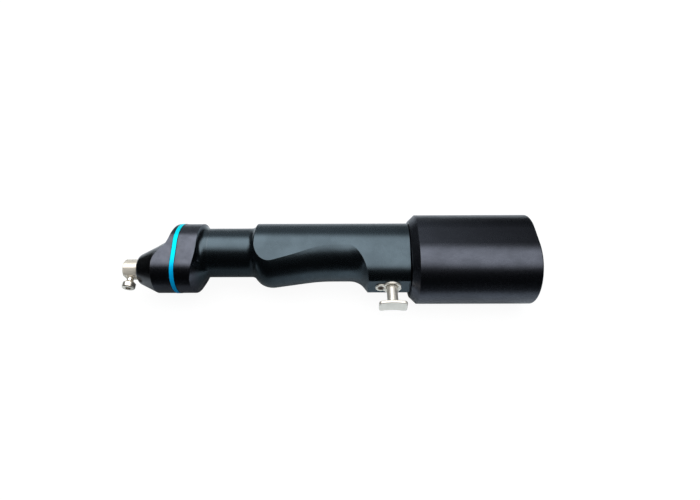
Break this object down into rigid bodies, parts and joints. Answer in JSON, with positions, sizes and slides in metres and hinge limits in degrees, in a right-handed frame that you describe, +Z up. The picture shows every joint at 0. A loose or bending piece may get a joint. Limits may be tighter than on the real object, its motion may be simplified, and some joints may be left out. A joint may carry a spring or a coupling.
{
  "type": "surgical power drill",
  "caption": "Cordless in-line surgical drill with an offset screw-clamp chuck, finger-cut grip, T-shaped trigger and slide-on battery.",
  "frame": {"origin": "centre of the chuck's mouth on the output axis", "axes": "+X runs rearward along the tool to the battery, -Y is the way the trigger points, +Z is up with the tool lying on its flat side"},
  "size_m": [0.2571, 0.0664, 0.0474],
  "materials": {
    "grip_black": "satin blue-black anodised aluminium",
    "head_black": "satin black anodised aluminium",
    "nose_black": "semi-gloss black nose cone",
    "casing_black": "satin black anodised aluminium, lightly worn",
    "ring_blue": "bright blue colour ring",
    "polished_steel": "polished stainless steel",
    "satin_steel": "satin stainless steel",
    "bearing_steel": "ground bearing steel",
    "gear_steel": "case-hardened gear steel",
    "screw_steel": "stainless fasteners",
    "motor_metal": "machined aluminium",
    "lamination": "laminated electrical steel",
    "copper": "enamelled copper wire",
    "magnet": "nickel-plated magnet",
    "contact_gold": "gold-plated contacts",
    "seal_rubber": "black nitrile rubber",
    "board_green": "fibreglass circuit board",
    "chip_black": "moulded components",
    "frame_plastic": "moulded inner frames",
    "bush_plastic": "plain bearing polymer",
    "cell_wrap": "cell can in green shrink wrap",
    "nickel": "nickel strip"
  },
  "bodies": {
    "handpiece": {"nose_cone": "nose_black", "nose_seal": "seal_rubber", "front_cap": "head_black", "colour_ring": "ring_blue", "gear_housing": "head_black", "front_bearing_outer": "bearing_steel", "front_bearing_balls": "bearing_steel", "rear_bearing_outer": "bearing_steel", "rear_bearing_balls": "bearing_steel", "motor_bearing_outers": "bearing_steel", "motor_bearing_shields": "bearing_steel", "motor_flange": "motor_metal", "motor_screws": "screw_steel", "motor_can": "motor_metal", "stator_core": "lamination", "stator_coils": "copper", "motor_end_bell": "motor_metal", "motor_sensor_board": "board_green", "handle_body": "grip_black", "trigger_bush": "bush_plastic", "stem_seal": "seal_rubber", "trigger_spring": "screw_steel", "trigger_plate": "satin_steel", "trigger_plate_screw": "screw_steel", "spring_seat": "frame_plastic", "hall_sensor": "chip_black", "board_tray": "frame_plastic", "control_board": "board_green", "board_components": "chip_black", "board_screws": "screw_steel", "capacitors": "motor_metal", "contact_block": "frame_plastic", "contact_pins": "contact_gold", "contact_seal": "seal_rubber", "block_ring": "motor_metal"},
    "output_shaft": {"chuck_spindle": "polished_steel", "output_gear": "gear_steel", "gear_key": "gear_steel", "spacer_sleeve": "satin_steel", "front_bearing_inner": "bearing_steel", "rear_bearing_inner": "bearing_steel"},
    "motor_rotor": {"rotor_shaft": "bearing_steel", "rotor_magnet": "magnet", "drive_pinion": "gear_steel", "motor_bearing_inners": "bearing_steel"},
    "pad": {"clamp_pad": "satin_steel"},
    "clamp": {"clamp_screw": "polished_steel"},
    "trigger": {"trigger_button": "satin_steel", "trigger_magnet": "magnet", "trigger_clip": "screw_steel"},
    "battery": {"battery_casing": "casing_black", "battery_end_cap": "casing_black", "end_cap_screws": "screw_steel", "battery_cells": "cell_wrap", "cell_carrier_front": "frame_plastic", "cell_carrier_rear": "frame_plastic", "cell_links": "nickel", "battery_contact_plate": "frame_plastic", "battery_contacts": "contact_gold", "battery_guard_board": "board_green"}
  },
  "joints": [
    {"name": "spindle_spin", "type": "hinge", "parent": "handpiece", "child": "output_shaft", "pos_m": [0, 0, 0], "axis": [1, 0, 0], "continuous": true},
    {"name": "motor_spin", "type": "hinge", "parent": "handpiece", "child": "motor_rotor", "pos_m": [0.08, 0.0133, 0], "axis": [1, 0, 0], "continuous": true},
    {"name": "pad_slide", "type": "slide", "parent": "output_shaft", "child": "pad", "axis": [0, 0.9833, 0.1822], "range_m": [0, 0.00245]},
    {"name": "clamp_turn", "type": "hinge", "parent": "pad", "child": "clamp", "pos_m": [0.0037, 0, 0], "axis": [0, 0.9833, 0.1822], "range_deg": [0, 1260]},
    {"name": "trigger_press", "type": "slide", "parent": "handpiece", "child": "trigger", "axis": [0, 1, 0], "range_m": [0, 0.006], "stiffness_N_per_m": 900, "springref_m": -0.004, "deforming": ["trigger_spring"]},
    {"name": "battery_slide", "type": "slide", "parent": "handpiece", "child": "battery", "axis": [1, 0, 0], "range_m": [0, 0.012]}
  ],
  "couplings": [
    {"joint": "motor_spin", "follows": "spindle_spin", "ratio": -1.7143},
    {"joint": "clamp_turn", "follows": "pad_slide", "rad_per_m": 8976}
  ]
}
